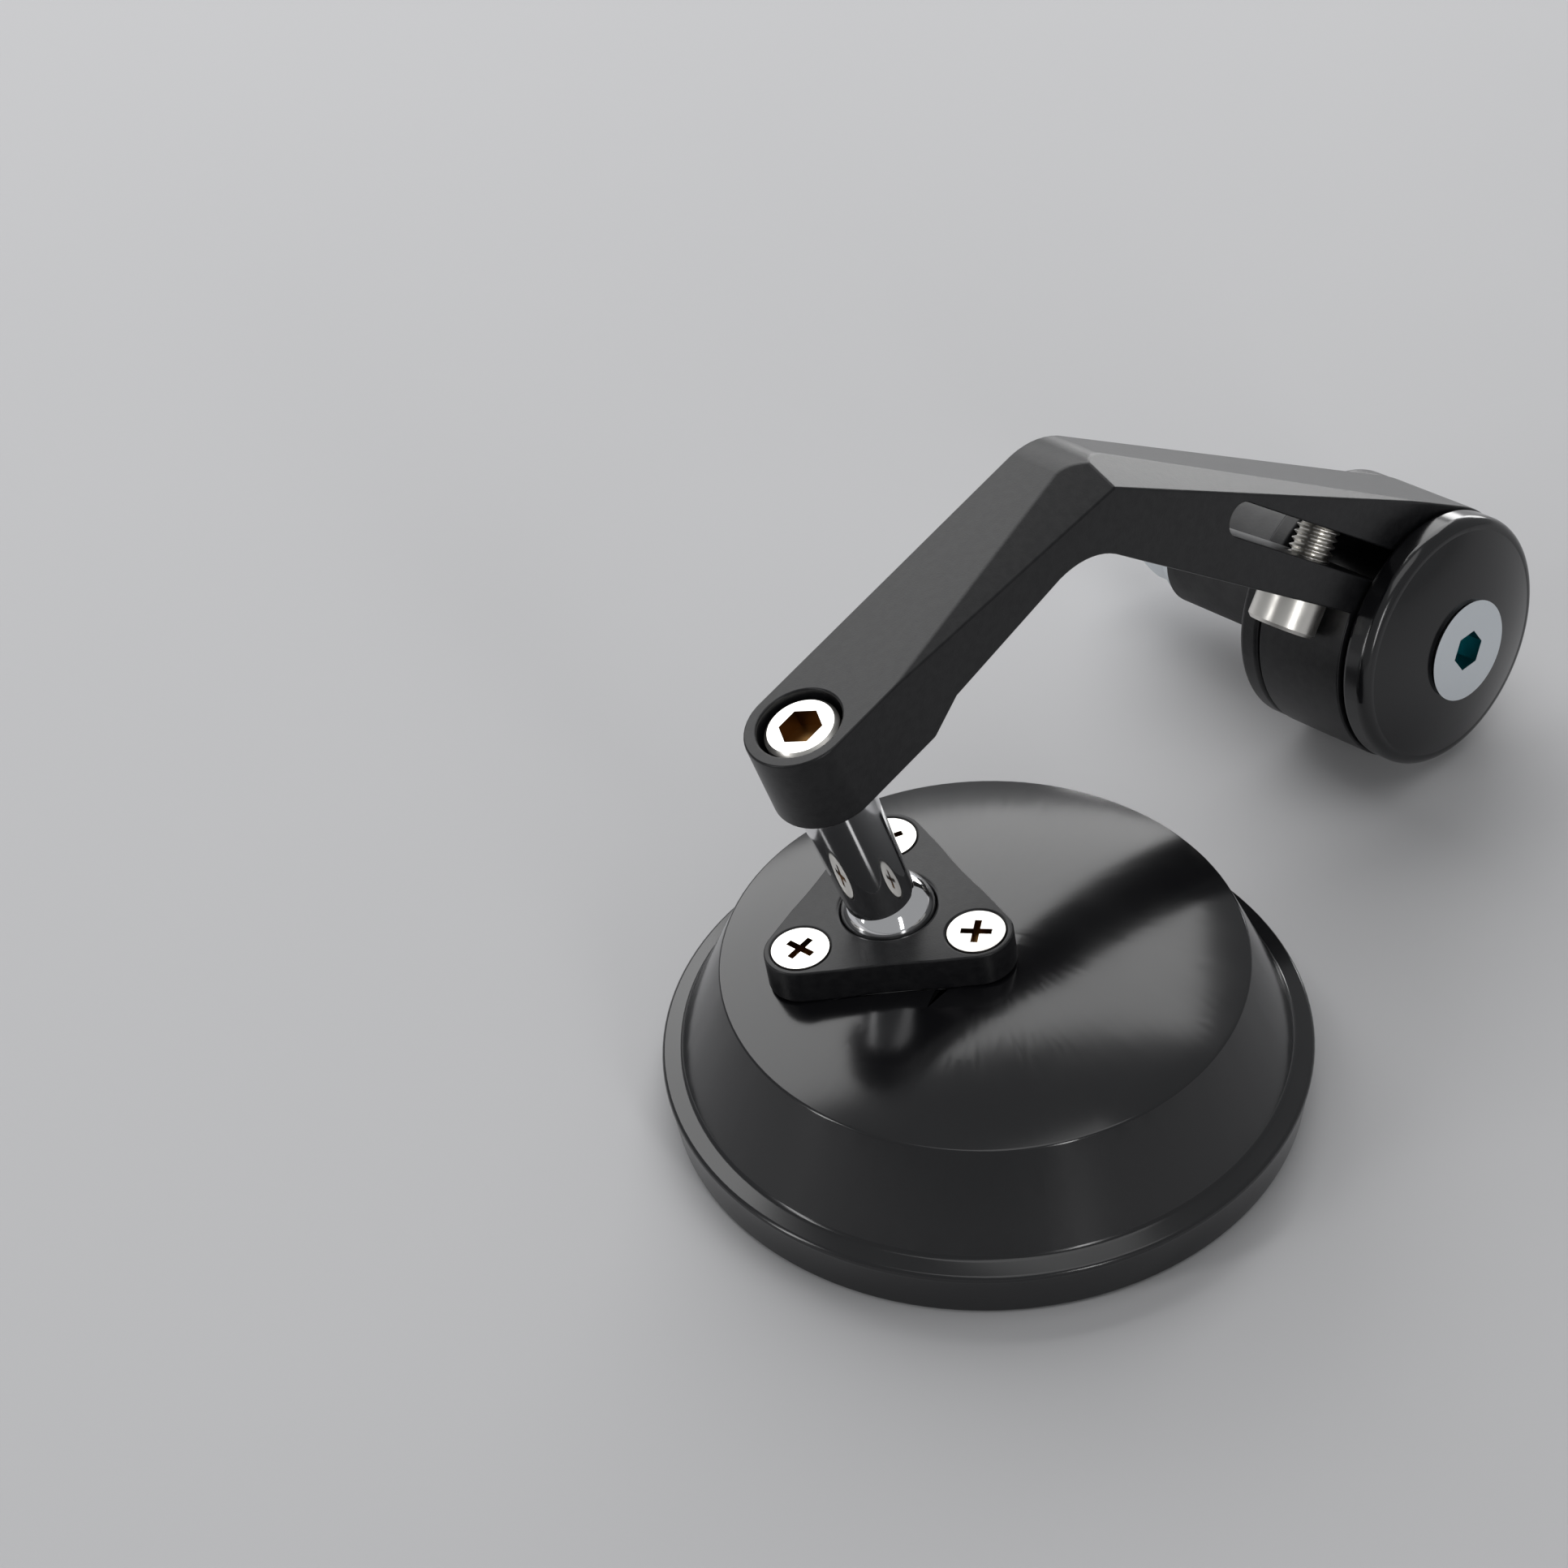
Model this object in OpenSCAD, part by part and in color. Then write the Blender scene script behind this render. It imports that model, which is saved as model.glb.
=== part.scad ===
// Bar end mirror for a motorcycle handlebar, lying as it rests on a table.
// The origin is on the hub axis, where the face of the inner flange meets the bar end.
// +X runs from the hub to the mirror head, +Y points outboard and +Z points up.

/* [Mirror head] */
// Outer radius of the head at its widest
head_r = 42.2; // [40:0.5:46]
// Height of the widest point above the front lip
band_h = 7.3; // [6.5:0.1:8.5]
// Step in from the widest point to the front lip
lip_in = 1; // [0.6:0.1:1.6]
// Width of the ledge between the widest point and the sloping skirt
skirt_in = 2.8; // [2.2:0.1:3.4]
// Step in from the widest point to the crease between skirt and dome
crease_in = 8.4; // [7.5:0.1:9.5]
// Height of the crease above the front lip
crease_h = 21.1; // [19:0.1:24]
// Rise of the dome above the crease
dome_rise = 4.6; // [3.5:0.1:5.5]
// Wall thickness of the shell
shell_wall = 2.6; // [2:0.1:3.2]
// Step in from the front lip to the edge of the glass
glass_in = 3.6; // [3:0.1:4.2]
// Thickness of the mirror glass
glass_t = 2; // [1.6:0.1:2.6]
// Bulge of the convex glass at its middle
glass_bulge = 1.1; // [0.6:0.1:1.4]
// Depth of the glass edge behind the front lip
glass_recess = 1.5; // [1.4:0.1:2.2]
// Thickness of the foam pad behind the glass
pad_t = 1.5; // [1:0.1:2.5]

/* [Ball joint] */
// Radius of the ball
ball_r = 6.25; // [5.8:0.05:6.6]
// Distance of the ball joint from the middle of the dome
joint_offset = 11.6; // [8:0.1:13]
// Direction of the ball joint from the middle of the dome
joint_azimuth = -51.5; // [-60:0.5:-45]
// Thickness of the retaining plate
plate_t = 4.9; // [4.2:0.1:5.6]
// Depth of the ball centre below the top of the plate
ball_depth = 1.7; // [1.4:0.1:2]
// Radius of the circle through the three plate screws
plate_screw_r = 12.8; // [12.4:0.1:14]
// Radius of each lobe of the plate
lobe_r = 4.7; // [4.6:0.1:5.4]
// Turn of the plate about the ball joint
plate_turn = 37; // [28:1:50]
// Depth to which the plate is let into the dome
plate_sink = 0.8; // [0.6:0.1:1.4]
// Wall thickness of the ball seat
seat_wall = 1.5; // [1.2:0.1:2]
// Stem radius at the ball
stem_r_low = 4.5; // [4:0.1:4.6]
// Stem radius at the arm
stem_r_top = 5.1; // [4.8:0.1:5.4]

/* [Arm] */
// Width of the arm along the hub axis
arm_w = 14.2; // [13:0.1:15]
// Outer radius of the clamp ring
ring_r = 18.3; // [17.5:0.1:19]
// Distance of the boss from the hub axis, along the arm
boss_x = 104.5; // [100:0.1:108]
// Height of the boss top above the hub axis
boss_z = 43.4; // [42:0.1:45]
// Slope of the leg at the boss
leg_slope = 14.15; // [12:0.05:16]
// Slope of the leg at the clamp ring
neck_slope = 32.2; // [31:0.1:33.5]
// Slope of the underside from the clamp ring to the bend
under_slope = 37.9; // [37:0.1:39]
// Thickness of the boss along its own axis
boss_h = 11.5; // [11:0.1:12.5]
// Distance of the step in the underside from the boss axis
step_back = 19.3; // [18:0.1:21]
// Thickness of the leg beside the boss
leg_t = 9; // [8.4:0.1:9.6]
// Outer radius of the bend
bend_r_out = 12; // [9:0.5:14]
// Inner radius of the bend
bend_r_in = 12; // [9:0.5:14]
// Width of the edge chamfer at the bend
chamfer_w = 7; // [6:0.1:8.5]
// Depth of the edge chamfer at the bend
chamfer_d = 2.8; // [2.2:0.1:3.4]
// Radius of the counterbore in the boss
boss_bore_r = 5.5; // [5.2:0.1:5.8]
// Radius of the clamp ring's bore
ring_bore_r = 12; // [11:0.1:12.8]
// Width of the clamp slot
slot_w = 4.7; // [4:0.1:5.4]
// Slope of the clamp slot
slot_slope = 39.6; // [38.5:0.1:40.5]
// Distance of the slot's end from the hub axis, along the slot
slot_end = 51.4; // [48:0.1:54]
// Offset of the slot's middle from the hub axis
slot_offset = 6.9; // [6.2:0.1:7.4]
// Distance of the clamp screw from the hub axis, along the slot
clamp_screw_x = 22.5; // [22:0.1:26]

/* [Hub] */
// Tilt of the hub axis when the mirror lies on a table
hub_tilt = 7.4; // [6:0.1:9]
// Thickness of the inner flange
flange_t = 3.4; // [3:0.1:5]
// Radius of the inner flange
flange_r = 18.2; // [17:0.1:18.6]
// Radius of the outer cap
cap_r = 18.1; // [17.7:0.1:18.7]
// Thickness of the cap behind its rounded edge
cap_rim = 2.8; // [2:0.1:3.5]
// Rise of the domed cap in front of its edge
cap_rise = 4.4; // [3:0.1:5]
// Running gap between the clamp ring and its neighbours
side_gap = 0.4; // [0.3:0.05:0.5]
// Radius of the rubber expander sleeve
sleeve_r = 9; // [8.4:0.1:9.2]
// Length of the rubber expander sleeve
sleeve_len = 22; // [18:0.5:26]
// Thread radius of the expander bolt
bolt_r = 4; // [3.8:0.1:4.1]
// Head radius of the expander bolt
bolt_head_r = 7.3; // [6.8:0.1:7.5]
// Length of bolt thread that stands out of the nut
bolt_out = 8; // [5:0.5:12]
// Width across flats of the expander nut
nut_flats = 13; // [12.5:0.1:14]
// Height of the expander nut
nut_h = 6.5; // [6:0.1:7]
// Thickness of the washer at the end of the sleeve
washer_t = 1.6; // [1.2:0.1:2]

/* [Screws] */
// Thread radius of the stem screw and the clamp screw
m6_r = 3; // [2.8:0.1:3]
// Head radius of the stem screw and the clamp screw
m6_head_r = 4.8; // [4.6:0.05:5]
// Head height of the stem screw
stem_head_h = 5; // [4.5:0.1:5.5]
// Head height of the clamp screw
clamp_head_h = 5.7; // [5.2:0.1:6]
// Length of the clamp screw's thread
clamp_screw_len = 12.5; // [11:0.5:13]
// Across-flats size of the hexagon sockets
m6_socket = 5; // [4.5:0.1:5.2]
// Thread radius of the plate screws
m4_r = 2; // [1.8:0.1:2.1]
// Head radius of the plate screws
m4_head_r = 3.7; // [3.5:0.1:3.9]
// Height of the countersunk head of the plate screws
m4_head_h = 2.3; // [2.1:0.1:2.5]
// Length of the plate screws
m4_len = 11; // [10:0.5:12]

/* [Hidden] */
$fn = 96;

// Small cuts reach this far past the faces that they open
over = 1;
// Running clearance of the ball and of the clamp ring
run_fit = 0.05;
// Depth of the stem screw's head below the top of the boss
stem_head_sink = 0.7;
// Clearance of screws in plain holes
screw_gap = 0.3;
// Clearance of screws in tapped holes, where the thread is left out
tap_gap = 0.02;

black = [0.06, 0.06, 0.065];
satin = [0.13, 0.13, 0.135];
rubber = [0.1, 0.1, 0.1];
steel = [0.8, 0.8, 0.78];
chrome = [0.86, 0.87, 0.88];

// Hub stack along the hub axis
ring_y = flange_t + side_gap;
arm_y = ring_y + arm_w / 2;
cap_y = ring_y + arm_w + side_gap;
cap_edge_y = cap_y + cap_rim;
cap_top_y = cap_edge_y + cap_rise;
edge_r = 0.8;
hub_tube_r = ring_bore_r - run_fit;
bolt_head_h = bolt_head_r - bolt_r;
bolt_face_y = cap_top_y + 0.1;
bolt_tip_y = -sleeve_len - washer_t - nut_h - bolt_out;

// Radii of the head, all from its widest one
lip_r = head_r - lip_in;
skirt_r = head_r - skirt_in;
crease_r = head_r - crease_in;
glass_r = lip_r - glass_in;

// Dome of the shell and the frame of the ball joint on it
dome_r = (crease_r * crease_r + dome_rise * dome_rise) / (2 * dome_rise);
dome_centre_h = crease_h + dome_rise - dome_r;
joint_lean = asin(joint_offset / dome_r);
plate_foot = dome_r - plate_sink;
ball_from_centre = plate_foot + plate_t - ball_depth;
ball_out = ball_from_centre * sin(joint_lean);
ball_h = dome_centre_h + ball_from_centre * cos(joint_lean);
seat_r = ball_r + run_fit + seat_wall;
seat_pad_t = 1;
boss_inner_r = plate_screw_r + lobe_r;
glass_back_h = glass_recess + glass_t;
cavity_h = glass_back_h + pad_t;

// Places of the arm's boss and ball, with the arm's own axes
boss_axis = [sin(leg_slope), cos(leg_slope)];
stem_len = 24.8;
ball_drop = boss_h + run_fit + stem_len;
ball_x = boss_x - ball_drop * boss_axis[0];
ball_z = boss_z - ball_drop * boss_axis[1];

// The arm swings about the hub until head and hub stand on one plane
ring_low = (ring_y + edge_r) * sin(hub_tilt) - (ring_r - edge_r) * cos(hub_tilt) - edge_r;
flange_low = edge_r * sin(hub_tilt) - (flange_r - edge_r) * cos(hub_tilt) - edge_r;
floor_z = min(ring_low, flange_low);
ball_dist = norm([ball_x, ball_z]);
ball_rise = (floor_z + ball_h - arm_y * sin(hub_tilt)) / cos(hub_tilt);
arm_swing = asin(ball_rise / ball_dist) - atan2(ball_z, ball_x);
swung_x = ball_dist * cos(asin(ball_rise / ball_dist));
ball_y = arm_y * cos(hub_tilt) - ball_rise * sin(hub_tilt);
head_x = swung_x - ball_out * cos(joint_azimuth);
head_y = ball_y - ball_out * sin(joint_azimuth);

// Side view of the arm: straight top lines, bend and underside
leg_top = boss_z + boss_x * tan(leg_slope);
neck_top = ring_r / cos(neck_slope);
peak_x = (leg_top - neck_top) / (tan(leg_slope) + tan(neck_slope));
peak = [peak_x, neck_top + peak_x * tan(neck_slope)];
under_corner = [peak_x + 6, (peak_x + 6) * tan(under_slope)];
step_x = boss_x - step_back;
step_up = [step_x, leg_top - step_x * tan(leg_slope) - leg_t / cos(leg_slope)];
low_x = step_x + 4.3;
low_drop = leg_top - boss_h / cos(leg_slope);
step_low = [low_x, low_drop - low_x * tan(leg_slope)];
end_x = boss_x + 2 * arm_w;
past_low = [end_x + over, low_drop - (end_x + over) * tan(leg_slope)];
end_top = [end_x, leg_top - end_x * tan(leg_slope)];

// Frame whose +Z is the hub axis, pointing outboard
module hub_frame() {
    rotate([hub_tilt, 0, 0]) rotate([-90, 0, 0]) children();
}

// Frame of the arm: X along the arm, Z up, Y along the hub axis
module arm_frame() {
    rotate([hub_tilt, 0, 0]) rotate([0, -arm_swing, 0]) children();
}

// Frame of the boss: origin at the middle of its top face, +Z along the stem
module boss_frame() {
    arm_frame() translate([boss_x, arm_y, boss_z]) rotate([0, leg_slope, 0]) children();
}

// Frame of the clamp slot: X along the slot, Z across it, origin on the hub axis
module slot_frame() {
    translate([0, arm_y, 0]) rotate([0, -slot_slope, 0]) children();
}

// Frame of the head: origin in the middle of the plane of its front lip
module head_frame() {
    translate([head_x, head_y, floor_z]) children();
}

// Frame of the ball joint: origin at the ball centre, +Z square to the dome
module joint_frame() {
    head_frame()
        translate([0, 0, dome_centre_h])
            rotate([0, 0, joint_azimuth])
                rotate([0, joint_lean, 0])
                    translate([0, 0, ball_from_centre])
                        rotate([0, 0, plate_turn])
                            children();
}

// Hexagon prism from z = 0 upwards, sized across its flats
module hexagon(flats, h) {
    cylinder(r = flats / sqrt(3), h = h, $fn = 6);
}

// Disc with both edges rounded, from z = 0 upwards
module rounded_disc(r, h, edge) {
    rotate_extrude() {
        square([r - edge, h]);
        translate([0, edge]) square([r, h - 2 * edge]);
        translate([r - edge, edge]) circle(edge, $fn = 32);
        translate([r - edge, h - edge]) circle(edge, $fn = 32);
    }
}

// Socket head screw, with the seat of its head at z = 0 and its thread below
module socket_screw(r, len, head_r, head_h, socket) {
    edge = 0.5;
    difference() {
        union() {
            translate([0, 0, -len]) cylinder(r = r, h = len);
            cylinder(r = head_r, h = head_h - edge);
            translate([0, 0, head_h - edge]) cylinder(r1 = head_r, r2 = head_r - edge, h = edge);
        }
        translate([0, 0, head_h / 2]) hexagon(socket, head_h);
    }
}

// Outline of the retaining plate: three lobes with hollow sides between them
module plate_outline(grow = 0) {
    waist = 4.5;
    side_r = 70;
    side_x = plate_screw_r / 2 + waist + side_r;
    difference() {
        circle(plate_screw_r + 2 * lobe_r, $fn = 3);
        for (turn = [60, 180, 300]) {
            rotate([0, 0, turn]) translate([side_x, 0]) circle(side_r - grow);
        }
        for (turn = [0, 120, 240]) {
            rotate([0, 0, turn]) difference() {
                translate([plate_screw_r + lobe_r / 2, -2 * lobe_r]) square([3 * lobe_r, 4 * lobe_r]);
                translate([plate_screw_r, 0]) circle(lobe_r + grow);
            }
        }
    }
    for (turn = [0, 120, 240]) {
        rotate([0, 0, turn]) translate([plate_screw_r, 0]) circle(lobe_r + grow);
    }
}

// Repeats a shape at the three plate screws
module at_plate_screws() {
    for (turn = [0, 120, 240]) {
        rotate([0, 0, turn]) translate([plate_screw_r, 0, ball_depth]) children();
    }
}

// Turned shell: lip, band, ledge, skirt and dome, hollow behind the glass
module head_shell() {
    inner_r = crease_r - shell_wall;
    color(black) difference() {
        head_frame() difference() {
            rotate_extrude($fn = 180) intersection() {
                polygon([[0, 0], [lip_r - 0.5, 0], [lip_r, 0.5], [head_r - 0.2, band_h - 1],
                         [head_r, band_h - 0.4], [head_r - 0.3, band_h + 0.1],
                         [skirt_r + 0.5, band_h + 0.6], [skirt_r, band_h + 0.9],
                         [crease_r, crease_h], [crease_r, 2 * crease_h], [0, 2 * crease_h]]);
                translate([0, dome_centre_h]) circle(dome_r, $fn = 1200);
            }
            translate([0, 0, -over]) cylinder(r = lip_r - 1.6, h = glass_recess + over);
            cylinder(r = glass_r + 1, h = cavity_h);
            difference() {
                cylinder(r1 = glass_r - 1, r2 = inner_r - 1, h = crease_h - shell_wall);
                translate([ball_out * cos(joint_azimuth), ball_out * sin(joint_azimuth), 0])
                    cylinder(r = boss_inner_r, h = crease_h);
            }
        }
        joint_frame() {
            translate([0, 0, ball_depth - plate_t]) linear_extrude(plate_t + over) plate_outline(0.1);
            translate([0, 0, -seat_r]) cylinder(r = seat_r + run_fit, h = seat_r);
            sphere(seat_r + run_fit);
            translate([0, 0, -seat_r - seat_pad_t]) cylinder(r = ball_r - 1, h = seat_r);
            at_plate_screws() translate([0, 0, -m4_len - over]) cylinder(r = m4_r + tap_gap, h = m4_len);
        }
    }
}

// Convex mirror glass, its bulge facing out of the lip
module mirror_glass() {
    bands = 16;
    bulge = [for (i = [0:bands]) [glass_r * i / bands,
                                  glass_recess - glass_bulge * (1 - pow(i / bands, 2))]];
    color([0.75, 0.85, 0.95]) head_frame() rotate_extrude($fn = 180)
        polygon(concat(bulge, [[glass_r, glass_back_h], [0, glass_back_h]]));
}

// Rubber ring between the glass and the lip
module glass_gasket() {
    color(rubber) head_frame() rotate_extrude($fn = 180)
        polygon([[glass_r, 0.8], [lip_r - 1.6, 0.6], [lip_r - 1.6, glass_recess],
                 [glass_r + 1, glass_recess], [glass_r + 1, glass_back_h], [glass_r, glass_back_h]]);
}

// Foam pad that holds the glass in the shell
module glass_pad() {
    color([0.2, 0.2, 0.2]) head_frame() translate([0, 0, glass_back_h])
        cylinder(r = glass_r, h = pad_t, $fn = 180);
}

// Cup under the ball, round outside as well, so that it can follow the ball
module ball_seat() {
    rim_lean = 49;
    color([0.85, 0.84, 0.8]) joint_frame() rotate_extrude() difference() {
        circle(seat_r);
        circle(ball_r + run_fit);
        translate([-2 * seat_r, -2 * seat_r]) square([2 * seat_r, 4 * seat_r]);
        polygon([[0, 0], [2 * seat_r, -2 * seat_r / tan(rim_lean)], [2 * seat_r, 2 * seat_r],
                 [0, 2 * seat_r]]);
        translate([0, -2 * seat_r]) square([ball_r / 3, 2 * seat_r]);
    }
}

// Rubber disc that presses the cup against the ball
module seat_pad() {
    color(rubber) joint_frame() translate([0, 0, -seat_r - seat_pad_t + 0.05]) difference() {
        cylinder(r = ball_r - 1.2, h = seat_r);
        translate([0, 0, seat_r + seat_pad_t]) sphere(seat_r + 0.05);
    }
}

// Three-lobed plate that holds the ball down
module retaining_plate() {
    edge = 0.6;
    color(satin) joint_frame() difference() {
        translate([0, 0, ball_depth - plate_t]) linear_extrude(plate_t) plate_outline();
        sphere(ball_r + run_fit);
        translate([0, 0, -plate_t]) cylinder(r = ball_r + run_fit, h = plate_t);
        translate([0, 0, ball_depth - edge])
            cylinder(r1 = ball_r - edge / 2, r2 = ball_r + edge / 2, h = edge);
        at_plate_screws() {
            translate([0, 0, -plate_t - over]) cylinder(r = m4_r + screw_gap, h = plate_t + 2 * over);
            translate([0, 0, -m4_head_h])
                cylinder(r1 = m4_r + screw_gap, r2 = m4_head_r + screw_gap, h = m4_head_h);
        }
    }
}

// Countersunk cross-recess screw of the plate
module plate_screw(turn) {
    recess_w = 0.9;
    recess_l = 4;
    recess_d = 1.4;
    rim = 0.3;
    color(steel) joint_frame() rotate([0, 0, turn])
        translate([plate_screw_r, 0, ball_depth]) difference() {
            union() {
                translate([0, 0, -m4_len]) cylinder(r = m4_r, h = m4_len - over);
                translate([0, 0, -m4_head_h]) cylinder(r1 = m4_r, r2 = m4_head_r, h = m4_head_h - rim);
                translate([0, 0, -rim]) cylinder(r = m4_head_r, h = rim);
            }
            for (turn = [20, 110]) {
                rotate([0, 0, turn]) translate([-recess_l / 2, -recess_w / 2, -recess_d])
                    cube([recess_l, recess_w, recess_d + over]);
            }
        }
}

module plate_screw_1() {
    plate_screw(0);
}

module plate_screw_2() {
    plate_screw(120);
}

module plate_screw_3() {
    plate_screw(240);
}

// Chromed ball and tapered stem in one piece, tapped for the stem screw
module ball_stud() {
    neck = sqrt(ball_r * ball_r - stem_r_low * stem_r_low);
    tap_len = 14;
    color(chrome) boss_frame() difference() {
        union() {
            translate([0, 0, -ball_drop]) sphere(ball_r);
            translate([0, 0, -ball_drop + neck - 0.5])
                cylinder(r1 = stem_r_low, r2 = stem_r_top, h = stem_len - neck + 0.5);
        }
        translate([0, 0, -boss_h - tap_len]) cylinder(r = m6_r + tap_gap, h = tap_len + over);
        translate([0, 0, -ball_drop - ball_r - over]) cylinder(r = 1.6, h = 2 * ball_r - neck);
    }
}

// Screw that holds the stem in the boss
module stem_screw() {
    color(steel) boss_frame() translate([0, 0, run_fit - stem_head_h - stem_head_sink])
        socket_screw(m6_r, boss_h - stem_head_h + 10, m6_head_r, stem_head_h, m6_socket);
}

// Piece between a sharp corner p and the arc that rounds it, with edges towards a and b.
// It reaches past both edges, and the arc crosses them cleanly
module corner(p, a, b, r) {
    to_a = (a - p) / norm(a - p);
    to_b = (b - p) / norm(b - p);
    half = acos(to_a * to_b) / 2;
    to_corner = -(to_a + to_b) / norm(to_a + to_b) * r / sin(half);
    past = 1.1;
    translate(p - to_corner) difference() {
        polygon([[0, 0], past * (to_corner + to_a * r / tan(half)), past * to_corner,
                 past * (to_corner + to_b * r / tan(half))]);
        circle(1.0015 * r);
    }
}

// Side view of the arm, X along the arm and Y up, with the hub axis at the origin
module arm_outline() {
    circle(ring_r, $fn = 180);
    difference() {
        polygon([[-over, -over], [end_x, -over], end_top, peak,
                 [-ring_r * sin(neck_slope), ring_r * cos(neck_slope)]]);
        corner(peak, end_top, [0, neck_top], bend_r_out);
        // Hollow under the arm, from the hub to past the boss
        difference() {
            polygon([[0, 0], under_corner, step_up, step_low, past_low,
                     [past_low[0], -2 * over], [0, -2 * over]]);
            corner(under_corner, [0, 0], step_up, bend_r_in);
        }
    }
}

// Half space above a plane that runs out on the edge at distance len along +X
module run_out_cut(len) {
    slant = [-1 / len, 1 / chamfer_w, 1 / chamfer_d];
    far = 2 * len;
    translate([len, 0, 0])
        rotate([0, acos(slant[2] / norm(slant)), atan2(slant[1], slant[0])])
            translate([-far, -far, 0]) cube([2 * far, 2 * far, far]);
}

// Chamfer along the upper outboard edge, widest at the bend, running out at boss and hub
module edge_cut() {
    leg_run = 42;
    neck_run = peak_x / cos(neck_slope) + 4;
    translate([peak[0], 0, peak[1]]) {
        rotate([0, leg_slope, 0]) run_out_cut(leg_run);
        rotate([0, 180 - neck_slope, 0]) mirror([0, 0, 1]) run_out_cut(neck_run);
    }
}

// One-piece arm: boss, bent leg and split clamp ring
module arm() {
    tap_len = clamp_screw_len + 1;
    // The round end starts just past its axis, so that it crosses the sides cleanly
    end_gap = 0.4;
    color(satin) arm_frame() difference() {
        translate([0, ring_y + arm_w, 0]) rotate([90, 0, 0]) linear_extrude(arm_w) arm_outline();
        // Round end of the boss
        translate([boss_x, arm_y, boss_z]) rotate([0, leg_slope, 0]) {
            difference() {
                translate([end_gap, -arm_w, -2 * boss_h]) cube([3 * arm_w, 2 * arm_w, 4 * boss_h]);
                translate([0, 0, -3 * boss_h]) cylinder(r = arm_w / 2 + 0.03, h = 6 * boss_h);
            }
            translate([0, 0, -boss_h - over]) cylinder(r = m6_r + screw_gap, h = boss_h + 2 * over);
            translate([0, 0, -stem_head_h - stem_head_sink]) cylinder(r = boss_bore_r, h = boss_h);
        }
        // Chamfer on the outboard side
        translate([0, ring_y + arm_w, 0]) edge_cut();
        // Bore and slot of the clamp ring
        translate([0, ring_y - over, 0]) rotate([-90, 0, 0])
            cylinder(r = ring_bore_r, h = arm_w + 2 * over);
        slot_frame() {
            translate([0, -arm_w, slot_offset - slot_w / 2])
                cube([slot_end - slot_w / 2, 2 * arm_w, slot_w]);
            translate([slot_end - slot_w / 2, -arm_w, slot_offset]) rotate([-90, 0, 0])
                cylinder(r = slot_w / 2, h = 2 * arm_w);
            // Clearance hole, tapped hole and seat of the clamp screw
            translate([clamp_screw_x, 0, 0]) {
                translate([0, 0, -over]) cylinder(r = m6_r + screw_gap, h = slot_offset + over);
                cylinder(r = m6_r + tap_gap, h = tap_len);
                translate([0, 0, -2 * clamp_head_h])
                    cylinder(r = m6_head_r + screw_gap, h = 2 * clamp_head_h);
            }
        }
    }
}

// Screw that draws the clamp ring together
module clamp_screw() {
    color(steel) arm_frame() slot_frame() translate([clamp_screw_x, 0, 0]) rotate([180, 0, 0])
        socket_screw(m6_r, clamp_screw_len, m6_head_r, clamp_head_h, m6_socket);
}

// Inner flange and the tube on which the clamp ring turns, in one piece
module pivot_hub() {
    color(satin) hub_frame() difference() {
        union() {
            rounded_disc(flange_r, flange_t, edge_r);
            cylinder(r = hub_tube_r, h = cap_y);
        }
        translate([0, 0, -over]) cylinder(r = bolt_r + screw_gap, h = cap_y + 2 * over);
    }
}

// Domed cap with a rounded shoulder on the outboard end
module outer_cap() {
    shoulder = 1.6;
    dome_rim_r = cap_r - shoulder + 0.2;
    dome_rim_y = cap_edge_y + shoulder - 0.1;
    rise = cap_top_y - dome_rim_y;
    cap_dome_r = (dome_rim_r * dome_rim_r + rise * rise) / (2 * rise);
    color(black) hub_frame() difference() {
        rotate_extrude() {
            translate([0, cap_y]) square([cap_r - edge_r, cap_edge_y - cap_y]);
            translate([0, cap_y + edge_r]) square([cap_r, cap_edge_y - cap_y - edge_r]);
            translate([cap_r - edge_r, cap_y + edge_r]) circle(edge_r, $fn = 32);
            translate([cap_r - shoulder, cap_edge_y]) circle(shoulder, $fn = 48);
            intersection() {
                translate([0, cap_y]) square([dome_rim_r, cap_top_y - cap_y]);
                translate([0, cap_top_y - cap_dome_r]) circle(cap_dome_r, $fn = 480);
            }
        }
        translate([0, 0, cap_y - over])
            cylinder(r = bolt_r + screw_gap, h = cap_top_y - cap_y + 2 * over);
        translate([0, 0, bolt_face_y - bolt_head_h])
            cylinder(r1 = bolt_r + screw_gap, r2 = bolt_head_r + screw_gap, h = bolt_head_h);
    }
}

// Countersunk bolt through the whole hub
module expander_bolt() {
    color(steel) hub_frame() difference() {
        union() {
            translate([0, 0, bolt_tip_y]) cylinder(r = bolt_r, h = bolt_face_y - bolt_tip_y - over);
            translate([0, 0, bolt_face_y - bolt_head_h])
                cylinder(r1 = bolt_r, r2 = bolt_head_r, h = bolt_head_h);
        }
        translate([0, 0, bolt_face_y - 3]) hexagon(m6_socket, 4);
    }
}

// Rubber sleeve that swells inside the handlebar
module rubber_sleeve() {
    color(rubber) hub_frame() translate([0, 0, -sleeve_len]) difference() {
        cylinder(r = sleeve_r, h = sleeve_len);
        translate([0, 0, -over]) cylinder(r = bolt_r + screw_gap, h = sleeve_len + 2 * over);
    }
}

// Washer between the sleeve and the nut
module expander_washer() {
    color(steel) hub_frame() translate([0, 0, -sleeve_len - washer_t]) difference() {
        cylinder(r = sleeve_r - 0.8, h = washer_t);
        translate([0, 0, -over]) cylinder(r = bolt_r + screw_gap, h = washer_t + 2 * over);
    }
}

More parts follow.
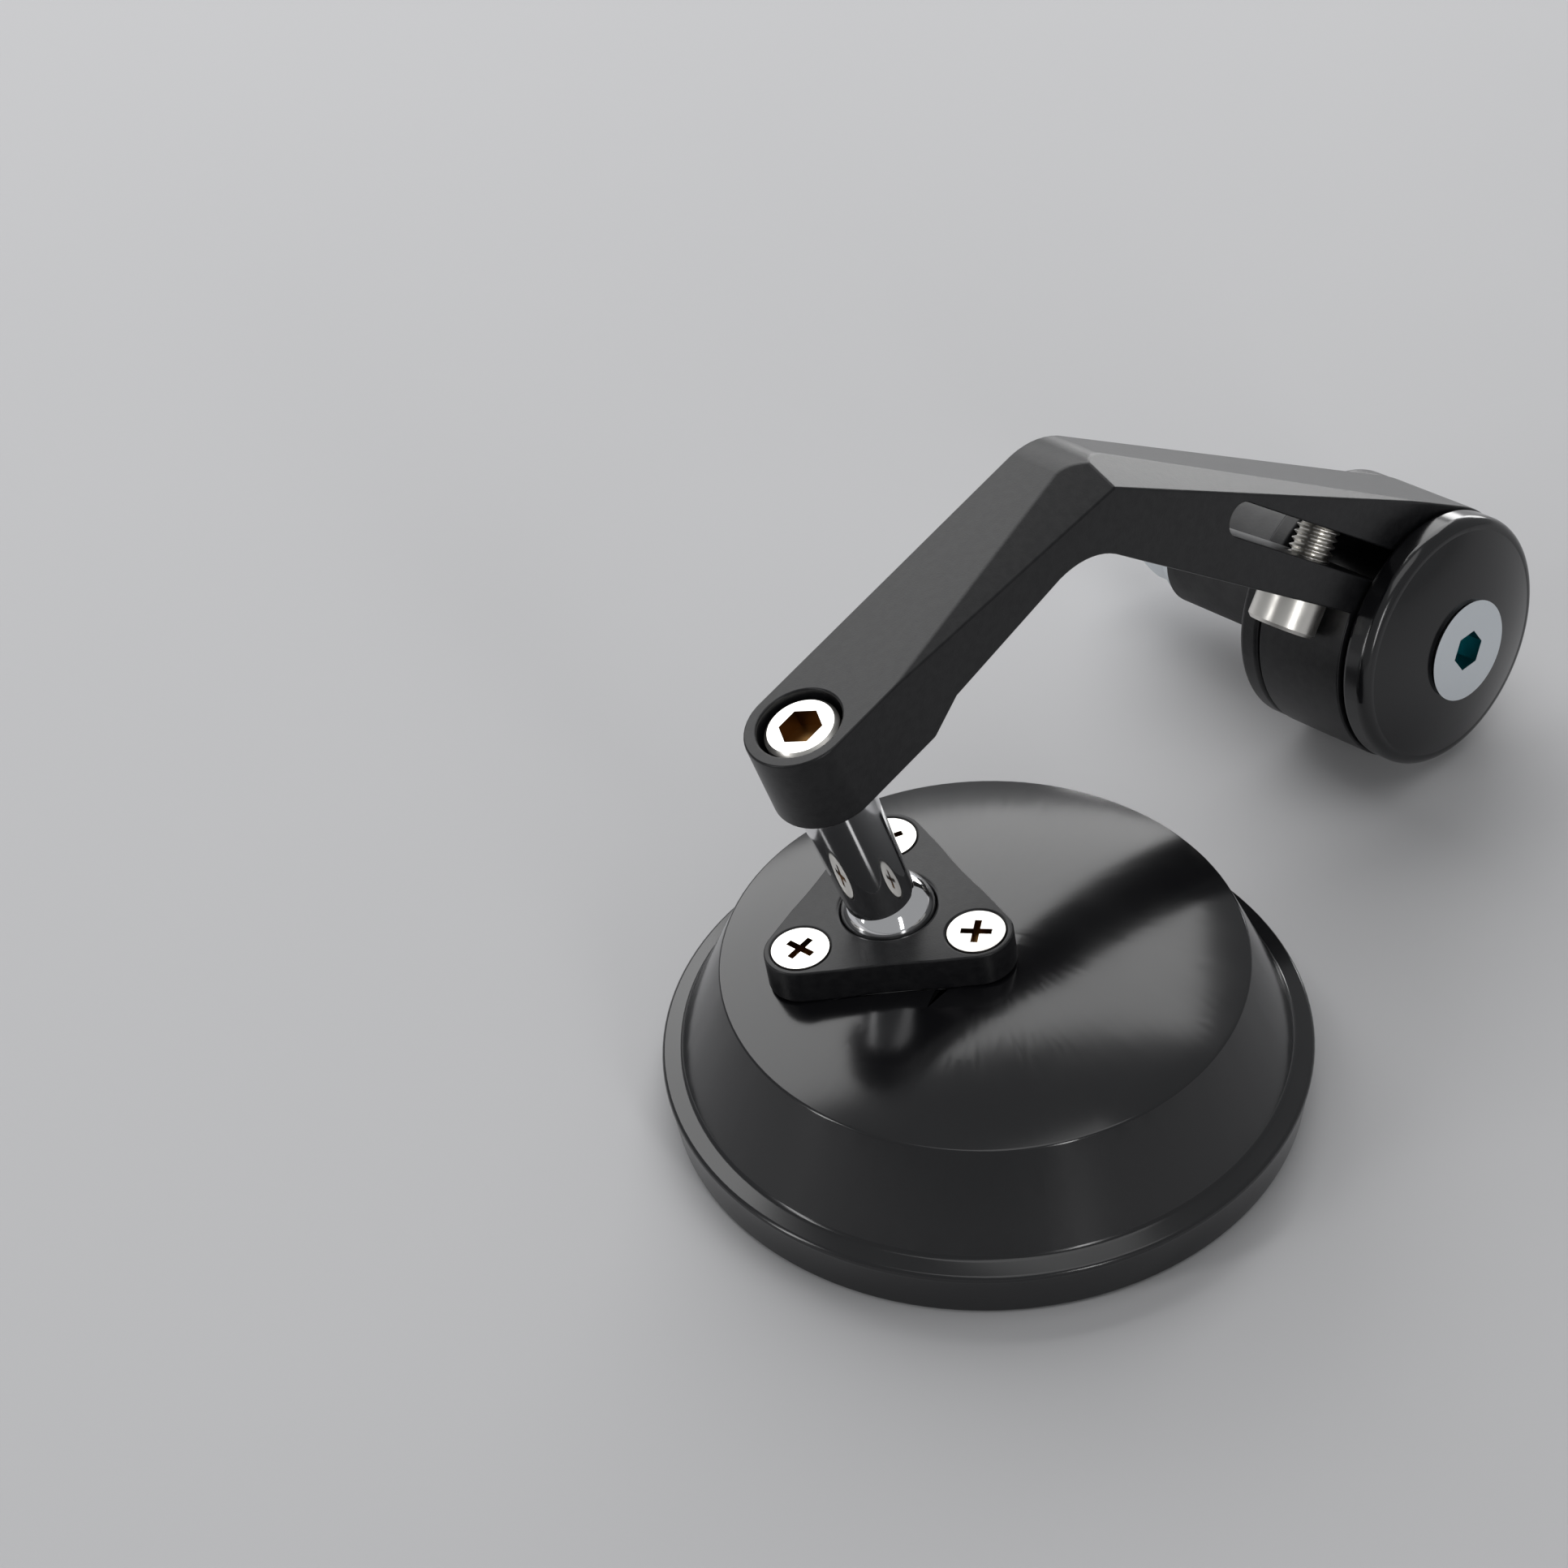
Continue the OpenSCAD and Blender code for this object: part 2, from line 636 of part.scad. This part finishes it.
// Hexagon nut at the end of the bolt
module expander_nut() {
    color(steel) hub_frame() translate([0, 0, -sleeve_len - washer_t - nut_h]) difference() {
        intersection() {
            hexagon(nut_flats, nut_h);
            cylinder(r1 = nut_flats / 2 + 0.3, r2 = nut_flats / 2 + nut_h, h = nut_h);
        }
        translate([0, 0, -over]) cylinder(r = bolt_r + tap_gap, h = nut_h + 2 * over);
    }
}

head_shell();
mirror_glass();
glass_gasket();
glass_pad();
ball_seat();
seat_pad();
retaining_plate();
plate_screw_1();
plate_screw_2();
plate_screw_3();
ball_stud();
stem_screw();
arm();
clamp_screw();
pivot_hub();
outer_cap();
expander_bolt();
rubber_sleeve();
expander_washer();
expander_nut();
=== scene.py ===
"""Looks of the bar end mirror: materials, threads, table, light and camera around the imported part."""

import math

import bmesh
import bpy
from mathutils import Matrix, Vector


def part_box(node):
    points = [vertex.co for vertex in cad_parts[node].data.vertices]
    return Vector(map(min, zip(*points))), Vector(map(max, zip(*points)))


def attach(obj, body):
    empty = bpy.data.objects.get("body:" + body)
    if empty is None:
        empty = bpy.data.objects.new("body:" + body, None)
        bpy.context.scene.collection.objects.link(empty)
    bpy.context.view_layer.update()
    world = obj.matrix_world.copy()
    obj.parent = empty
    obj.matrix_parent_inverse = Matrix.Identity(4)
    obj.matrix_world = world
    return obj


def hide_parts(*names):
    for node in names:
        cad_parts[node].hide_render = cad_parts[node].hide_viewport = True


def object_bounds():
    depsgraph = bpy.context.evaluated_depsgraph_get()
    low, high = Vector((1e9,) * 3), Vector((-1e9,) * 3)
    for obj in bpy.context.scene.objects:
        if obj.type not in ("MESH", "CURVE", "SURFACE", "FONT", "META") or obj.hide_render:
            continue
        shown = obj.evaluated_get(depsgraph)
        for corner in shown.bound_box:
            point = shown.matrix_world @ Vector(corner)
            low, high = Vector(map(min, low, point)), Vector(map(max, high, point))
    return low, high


MM = 0.001

# Camera of the photograph, in the row frame
CAMERA_AT = Vector((337.68, 275.05, 348.94)) * MM
CAMERA_RIGHT = Vector((-0.72457, 0.68665, -0.05933))
CAMERA_UP = Vector((-0.48758, -0.44986, 0.74826))
LENS_MM = 89.64
SENSOR_MM = 36.0

# Directions and seats of the solids, at rest
HUB_AXIS = Vector((0.0, 0.99167, 0.12880))
STEM_AXIS = Vector((0.24328, -0.12493, 0.96188))
PLATE_NORMAL = Vector((0.05709, -0.07178, 0.99579))
CLAMP_SEAT = Vector((17.319, 8.959, 15.647)) * MM
CLAMP_AXIS = Vector((-0.63837, -0.09914, 0.76332))

# Threads: crest radius, root radius and pitch
M6 = (3.0 * MM, 2.45 * MM, 1.0 * MM)
M8 = (4.0 * MM, 3.35 * MM, 1.25 * MM)
CLAMP_THREAD = (1.0 * MM, 12.4 * MM)
BOLT_THREAD = (-37.9 * MM, -30.2 * MM)

THREAD_STEPS = 36
RUNOUT = 0.3 * MM
RIDGE_INSET = 0.1 * MM
RIDGE_SINK = 0.05 * MM

# Small measures for work on meshes
WELD = 0.002 * MM
LEVEL = 0.01 * MM

# Rounded edges of the solids
EDGES = {"arm": 0.3 * MM, "head_shell": 0.25 * MM}
PLATE_EDGE = 0.25 * MM
EDGE_ANGLE = math.radians(20)
FLAT_ANGLE = math.radians(0.3)
SHARP_ANGLE = math.radians(25)

# Table and world
BACKGROUND = (0.56, 0.57, 0.58)
WORLD_LIGHT = 0.35
WORLD_SEEN = 0.6
FLOOR_COLOUR = (0.56, 0.56, 0.57)
FLOOR_GAP = 0.02 * MM
TABLE_SIZE = 3.0
TABLE_AT = (0.05, 0.0)

# Soft boxes: place from the middle of the part, size and power
LIGHTS = {
    "main": ((-0.36, -0.66, 0.66), (1.3, 0.9), 9.0),
    "overhead": ((0.05, 0.25, 0.97), (0.7, 0.7), 1.6),
    "back": ((-0.95, -0.42, 0.08), (0.6, 0.2), 2.2),
    "side": ((0.75, -0.25, 0.30), (0.10, 0.5), 1.1),
    "front": ((0.25, 0.75, 0.25), (0.10, 0.4), 1.0),
}

# Colours of the screws, and of the painted shade in the recesses of their heads
NICKEL = (0.76, 0.74, 0.70)
ZINC = (0.70, 0.74, 0.77)
# Painted shade in the recesses: dark brown in the nickel screws, teal in the zinc bolt
RECESS_SHADE_BROWN = (0.20, 0.11, 0.04)
RECESS_SHADE_TEAL = (0.05, 0.30, 0.33)
SOCKET_DEPTH = 3.6 * MM

# Screw: colour of its metal, colour and radius of the painted shade in its recess, direction out of its
# head
SCREWS = {
    "plate_screw_1": (NICKEL, RECESS_SHADE_BROWN, 2.4 * MM, PLATE_NORMAL),
    "plate_screw_2": (NICKEL, RECESS_SHADE_BROWN, 2.4 * MM, PLATE_NORMAL),
    "plate_screw_3": (NICKEL, RECESS_SHADE_BROWN, 2.4 * MM, PLATE_NORMAL),
    "stem_screw": (NICKEL, RECESS_SHADE_BROWN, 3.1 * MM, STEM_AXIS),
    "clamp_screw": (NICKEL, RECESS_SHADE_BROWN, 3.1 * MM, -CLAMP_AXIS),
    "expander_bolt": (ZINC, RECESS_SHADE_TEAL, 3.1 * MM, HUB_AXIS),
}


def principled(name, colour, roughness, metallic=0.0, **sockets):
    """A material with one principled shader, and that shader."""
    material = bpy.data.materials.new(name)
    material.use_nodes = True
    shader = material.node_tree.nodes["Principled BSDF"]
    shader.inputs["Base Color"].default_value = (*colour, 1.0)
    shader.inputs["Roughness"].default_value = roughness
    shader.inputs["Metallic"].default_value = metallic
    for socket, value in sockets.items():
        shader.inputs[socket.replace("_", " ")].default_value = value
    return material, shader


def noise_of(material, scale, detail=3.0):
    """Noise in object coordinates."""
    nodes, links = material.node_tree.nodes, material.node_tree.links
    place = nodes.new("ShaderNodeTexCoord")
    noise = nodes.new("ShaderNodeTexNoise")
    noise.inputs["Scale"].default_value = scale
    noise.inputs["Detail"].default_value = detail
    links.new(place.outputs["Object"], noise.inputs["Vector"])
    return noise.outputs["Fac"]


def add_grain(material, shader, scale, strength, distance):
    """Fine noise bump on the surface."""
    nodes, links = material.node_tree.nodes, material.node_tree.links
    bump = nodes.new("ShaderNodeBump")
    bump.inputs["Strength"].default_value = strength
    bump.inputs["Distance"].default_value = distance
    links.new(noise_of(material, scale), bump.inputs["Height"])
    links.new(bump.outputs["Normal"], shader.inputs["Normal"])


def add_mottle(material, shader, low, high, scale):
    """Roughness that varies between low and high in soft patches."""
    nodes, links = material.node_tree.nodes, material.node_tree.links
    spread = nodes.new("ShaderNodeMapRange")
    spread.inputs["From Min"].default_value = 0.3
    spread.inputs["From Max"].default_value = 0.7
    spread.inputs["To Min"].default_value = low
    spread.inputs["To Max"].default_value = high
    links.new(noise_of(material, scale, 6.0), spread.inputs["Value"])
    links.new(spread.outputs["Result"], shader.inputs["Roughness"])


def add_tone(material, shader, dark, light, scale):
    """Base colour that drifts between two close tones."""
    nodes, links = material.node_tree.nodes, material.node_tree.links
    ramp = nodes.new("ShaderNodeValToRGB")
    ramp.color_ramp.elements[0].position = 0.35
    ramp.color_ramp.elements[0].color = (*dark, 1.0)
    ramp.color_ramp.elements[1].position = 0.65
    ramp.color_ramp.elements[1].color = (*light, 1.0)
    links.new(noise_of(material, scale, 4.0), ramp.inputs["Fac"])
    links.new(ramp.outputs["Color"], shader.inputs["Base Color"])


def add_painted_recess_shade(material, shader, metal, recess_shade, centre, axis, radius):
    """Painted shade in a recess: darkens what lies within radius of the axis and just below the face at
    centre.
    """
    nodes, links = material.node_tree.nodes, material.node_tree.links
    place = nodes.new("ShaderNodeTexCoord")
    offset = nodes.new("ShaderNodeVectorMath")
    offset.operation = "SUBTRACT"
    offset.inputs[1].default_value = centre
    depth = nodes.new("ShaderNodeVectorMath")
    depth.operation = "DOT_PRODUCT"
    depth.inputs[1].default_value = axis
    across = nodes.new("ShaderNodeVectorMath")
    across.operation = "CROSS_PRODUCT"
    across.inputs[1].default_value = axis
    reach = nodes.new("ShaderNodeVectorMath")
    reach.operation = "LENGTH"
    level = nodes.new("ShaderNodeMath")
    level.operation = "COMPARE"
    level.inputs[1].default_value = -SOCKET_DEPTH / 2
    level.inputs[2].default_value = SOCKET_DEPTH / 2 - 0.05 * MM
    within = nodes.new("ShaderNodeMath")
    within.operation = "LESS_THAN"
    within.inputs[1].default_value = radius
    both = nodes.new("ShaderNodeMath")
    both.operation = "MULTIPLY"
    mix = nodes.new("ShaderNodeMix")
    mix.data_type = "RGBA"
    mix.inputs[6].default_value = (*metal, 1.0)
    mix.inputs[7].default_value = (*recess_shade, 1.0)
    links.new(place.outputs["Object"], offset.inputs[0])
    links.new(offset.outputs["Vector"], depth.inputs[0])
    links.new(offset.outputs["Vector"], across.inputs[0])
    links.new(across.outputs["Vector"], reach.inputs[0])
    links.new(depth.outputs["Value"], level.inputs[0])
    links.new(reach.outputs["Value"], within.inputs[0])
    links.new(level.outputs["Value"], both.inputs[0])
    links.new(within.outputs["Value"], both.inputs[1])
    links.new(both.outputs["Value"], mix.inputs[0])
    links.new(mix.outputs[2], shader.inputs["Base Color"])


def gloss_black():
    material, shader = principled("gloss_black", (0.005, 0.005, 0.006), 0.15,
                                  Specular_IOR_Level=0.62)
    add_mottle(material, shader, 0.12, 0.19, 45.0)
    return material


def satin_black():
    material, shader = principled("satin_black", (0.008, 0.008, 0.009), 0.34,
                                  Specular_IOR_Level=0.32)
    add_tone(material, shader, (0.006, 0.006, 0.007), (0.011, 0.011, 0.012), 900.0)
    add_grain(material, shader, 4200.0, 0.22, 0.00006)
    return material


def chrome():
    material, shader = principled("chrome", (0.82, 0.82, 0.83), 0.06, 1.0)
    add_mottle(material, shader, 0.04, 0.09, 180.0)
    return material


def rubber():
    material, shader = principled("rubber", (0.016, 0.016, 0.017), 0.62)
    add_tone(material, shader, (0.012, 0.012, 0.013), (0.024, 0.024, 0.025), 260.0)
    add_grain(material, shader, 1500.0, 0.35, 0.0001)
    return material


def plastic():
    material, shader = principled("seat_plastic", (0.62, 0.60, 0.55), 0.45)
    add_mottle(material, shader, 0.40, 0.52, 300.0)
    return material


def mirror_glass():
    material, shader = principled("mirror_glass", (0.74, 0.83, 0.90), 0.02, 1.0)
    add_mottle(material, shader, 0.015, 0.03, 30.0)
    return material


def steel(name, metal):
    """Plated steel with soft patches of gloss."""
    material, shader = principled(name, metal, 0.32, 1.0)
    add_mottle(material, shader, 0.28, 0.36, 700.0)
    return material, shader


def table_top():
    material, shader = principled("table_top", FLOOR_COLOUR, 0.65, Specular_IOR_Level=0.10)
    add_mottle(material, shader, 0.60, 0.70, 9.0)
    return material


MATERIAL_OF = {
    gloss_black: ["head_shell", "outer_cap"],
    satin_black: ["arm", "retaining_plate", "pivot_hub"],
    chrome: ["ball_stud"],
    rubber: ["rubber_sleeve", "glass_gasket", "glass_pad", "seat_pad"],
    plastic: ["ball_seat"],
    mirror_glass: ["mirror_glass"],
}


def put_material(piece, material):
    piece.data.materials.clear()
    piece.data.materials.append(material)


def head_centre(node):
    """Middle of the top face of a screw."""
    axis = SCREWS[node][3]
    points = [vertex.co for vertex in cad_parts[node].data.vertices]
    top = max(point.dot(axis) for point in points)
    rim = [point for point in points if point.dot(axis) > top - 2 * LEVEL]
    return sum(rim, Vector()) / len(rim)


def dress_screw(piece, node):
    """Metal for a screw, with painted shade in the recess of its head."""
    metal, recess_shade, radius, axis = SCREWS[node]
    centre = head_centre(node)
    material, shader = steel(node + "_metal", metal)
    add_painted_recess_shade(material, shader, metal, recess_shade, centre, axis, radius)
    put_material(piece, material)


def soften_edges(piece, width):
    """Small rounded edges, so that they catch the light."""
    weld = piece.modifiers.new("weld", "WELD")
    weld.merge_threshold = WELD
    flat = piece.modifiers.new("flat", "DECIMATE")
    flat.decimate_type = "DISSOLVE"
    flat.angle_limit = FLAT_ANGLE
    bevel = piece.modifiers.new("edges", "BEVEL")
    bevel.width = width
    bevel.segments = 2
    bevel.limit_method = "ANGLE"
    bevel.angle_limit = EDGE_ANGLE
    bevel.use_clamp_overlap = False
    normals = piece.modifiers.new("normals", "WEIGHTED_NORMAL")
    normals.weight = 80


def helix(name, foot, axis, span, thread):
    """Thread ridge along axis between the two distances of span from foot."""
    crest, root, pitch = thread
    side = axis.orthogonal().normalized()
    up = axis.cross(side)
    count = int((span[1] - span[0] - pitch) / pitch * THREAD_STEPS)
    mesh = bmesh.new()
    rings = []
    for i in range(count + 1):
        turn = 2 * math.pi * i / THREAD_STEPS
        out = side * math.cos(turn) + up * math.sin(turn)
        fade = min(1.0, i / (THREAD_STEPS / 2), (count - i) / (THREAD_STEPS / 2))
        tip = root + (crest - root) * max(fade, 0.02)
        low = root - RIDGE_SINK
        at = foot + axis * (span[0] + pitch * i / THREAD_STEPS)
        rings.append([mesh.verts.new(at + out * low + axis * 0.06 * pitch),
                      mesh.verts.new(at + out * tip + axis * 0.44 * pitch),
                      mesh.verts.new(at + out * tip + axis * 0.56 * pitch),
                      mesh.verts.new(at + out * low + axis * 0.94 * pitch)])
    for this, after in zip(rings, rings[1:]):
        for k in range(4):
            mesh.faces.new((this[k], this[(k + 1) % 4], after[(k + 1) % 4], after[k]))
    mesh.faces.new(rings[0])
    mesh.faces.new(list(reversed(rings[-1])))
    bmesh.ops.recalc_face_normals(mesh, faces=mesh.faces)
    data = bpy.data.meshes.new(name)
    mesh.to_mesh(data)
    mesh.free()
    piece = bpy.data.objects.new(name, data)
    bpy.context.collection.objects.link(piece)
    return piece


def drop_kept_normals(data):
    """Lets the edited mesh shade by its own faces."""
    kept = data.attributes.get("custom_normal")
    if kept:
        data.attributes.remove(kept)


def thread_node(node, body, foot, axis, span, thread):
    """Stands in for a screw: the same shape with a cut thread between the distances of span."""
    crest, root, _ = thread
    piece = bpy.data.objects.new(node + "_threaded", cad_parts[node].data.copy())
    bpy.context.collection.objects.link(piece)
    mesh = bmesh.new()
    mesh.from_mesh(piece.data)
    bmesh.ops.remove_doubles(mesh, verts=mesh.verts, dist=WELD)
    for reach in (span[0], span[0] + RUNOUT, span[1] - RUNOUT, span[1]):
        bmesh.ops.bisect_plane(mesh, geom=mesh.verts[:] + mesh.edges[:] + mesh.faces[:],
                               plane_co=foot + axis * reach, plane_no=axis, dist=WELD / 2)
    for vertex in mesh.verts:
        along = (vertex.co - foot).dot(axis)
        middle = foot + axis * along
        out = vertex.co - middle
        inside = span[0] + RUNOUT - LEVEL < along < span[1] - RUNOUT + LEVEL
        if inside and abs(out.length - crest) < 10 * LEVEL:
            vertex.co = middle + out * (root / out.length)
    mesh.normal_update()
    for face in mesh.faces:
        face.smooth = True
    for edge in mesh.edges:
        edge.smooth = edge.is_manifold and edge.calc_face_angle() < SHARP_ANGLE
    mesh.to_mesh(piece.data)
    mesh.free()
    drop_kept_normals(piece.data)
    dress_screw(piece, node)
    ridge_span = (span[0] + RIDGE_INSET, span[1] - RIDGE_INSET)
    ridge = helix(node + "_ridge", foot, axis, ridge_span, thread)
    ridge.data.materials.append(piece.data.materials[0])
    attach(piece, body)
    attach(ridge, body)
    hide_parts(node)


def open_seats():
    """Stands in for the plate: the same shape with a new top face, open over its screw seats."""
    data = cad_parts["retaining_plate"].data.copy()
    piece = bpy.data.objects.new("retaining_plate_seats", data)
    bpy.context.collection.objects.link(piece)
    mesh = bmesh.new()
    mesh.from_mesh(data)
    bmesh.ops.remove_doubles(mesh, verts=mesh.verts, dist=WELD)
    top = max(vertex.co.dot(PLATE_NORMAL) for vertex in mesh.verts) - LEVEL
    lids = [face for face in mesh.faces
            if all(vertex.co.dot(PLATE_NORMAL) > top for vertex in face.verts)]
    bmesh.ops.delete(mesh, geom=lids, context="FACES")
    rims = [edge for edge in mesh.edges if edge.is_boundary]
    bmesh.ops.triangle_fill(mesh, edges=rims, use_beauty=True, normal=PLATE_NORMAL)
    for face in mesh.faces:
        face.smooth = True
    mesh.to_mesh(data)
    mesh.free()
    drop_kept_normals(data)
    soften_edges(piece, PLATE_EDGE)
    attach(piece, "head")
    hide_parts("retaining_plate")


def dress_nodes():
    """Gives every solid its material and its small rounded edges."""
    for make, nodes in MATERIAL_OF.items():
        material = make()
        for node in nodes:
            put_material(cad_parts[node], material)
    for node in SCREWS:
        dress_screw(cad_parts[node], node)
    for node in ("expander_washer", "expander_nut"):
        put_material(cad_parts[node], steel(node + "_metal", ZINC)[0])
    for node, width in EDGES.items():
        soften_edges(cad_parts[node], width)


def box_light(name, at, target, size, power):
    """A soft rectangular light that points at target."""
    data = bpy.data.lights.new(name, "AREA")
    data.shape = "RECTANGLE"
    data.size, data.size_y = size
    data.energy = power
    light = bpy.data.objects.new(name, data)
    light.location = at
    light.rotation_euler = (target - at).to_track_quat("-Z", "Y").to_euler()
    bpy.context.collection.objects.link(light)


def make_table(floor_z):
    bpy.ops.mesh.primitive_plane_add(size=TABLE_SIZE, location=(*TABLE_AT, floor_z))
    table = bpy.context.object
    table.name = "table"
    table.data.materials.append(table_top())


def make_world():
    """A dim world for the light, which the camera and shiny surfaces see as a pale backdrop."""
    world = bpy.data.worlds.new("studio")
    bpy.context.scene.world = world
    world.use_nodes = True
    nodes, links = world.node_tree.nodes, world.node_tree.links
    path = nodes.new("ShaderNodeLightPath")
    seen = nodes.new("ShaderNodeMath")
    seen.operation = "MAXIMUM"
    strength = nodes.new("ShaderNodeMapRange")
    strength.inputs["To Min"].default_value = WORLD_LIGHT
    strength.inputs["To Max"].default_value = WORLD_SEEN
    background = nodes["Background"]
    background.inputs["Color"].default_value = (*BACKGROUND, 1.0)
    links.new(path.outputs["Is Camera Ray"], seen.inputs[0])
    links.new(path.outputs["Is Glossy Ray"], seen.inputs[1])
    links.new(seen.outputs["Value"], strength.inputs["Value"])
    links.new(strength.outputs["Result"], background.inputs["Strength"])


def make_lights(middle):
    for name, (place, size, power) in LIGHTS.items():
        box_light(name, middle + Vector(place), middle, size, power)


def make_camera():
    data = bpy.data.cameras.new("camera")
    data.lens = LENS_MM
    data.sensor_width = SENSOR_MM
    data.clip_start = 0.01
    camera = bpy.data.objects.new("camera", data)
    back = CAMERA_RIGHT.cross(CAMERA_UP)
    turn = Matrix((CAMERA_RIGHT, CAMERA_UP, back)).transposed()
    camera.matrix_world = Matrix.Translation(CAMERA_AT) @ turn.to_4x4()
    bpy.context.collection.objects.link(camera)
    bpy.context.scene.camera = camera


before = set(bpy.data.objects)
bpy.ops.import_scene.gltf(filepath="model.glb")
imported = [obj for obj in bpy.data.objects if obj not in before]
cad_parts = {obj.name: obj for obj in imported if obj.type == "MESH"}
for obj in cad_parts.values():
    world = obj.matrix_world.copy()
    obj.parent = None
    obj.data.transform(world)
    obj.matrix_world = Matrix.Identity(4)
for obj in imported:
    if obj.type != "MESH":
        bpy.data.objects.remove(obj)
cad_low, cad_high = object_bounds()
dress_nodes()
open_seats()
thread_node("clamp_screw", "arm", CLAMP_SEAT, CLAMP_AXIS, CLAMP_THREAD, M6)
thread_node("expander_bolt", "hub", Vector(), HUB_AXIS, BOLT_THREAD, M8)
floor_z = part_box("head_shell")[0][2] - FLOOR_GAP
middle = (Vector(cad_low) + Vector(cad_high)) / 2
make_table(floor_z)
make_world()
make_lights(middle)
make_camera()
bpy.context.scene.view_settings.view_transform = "Standard"
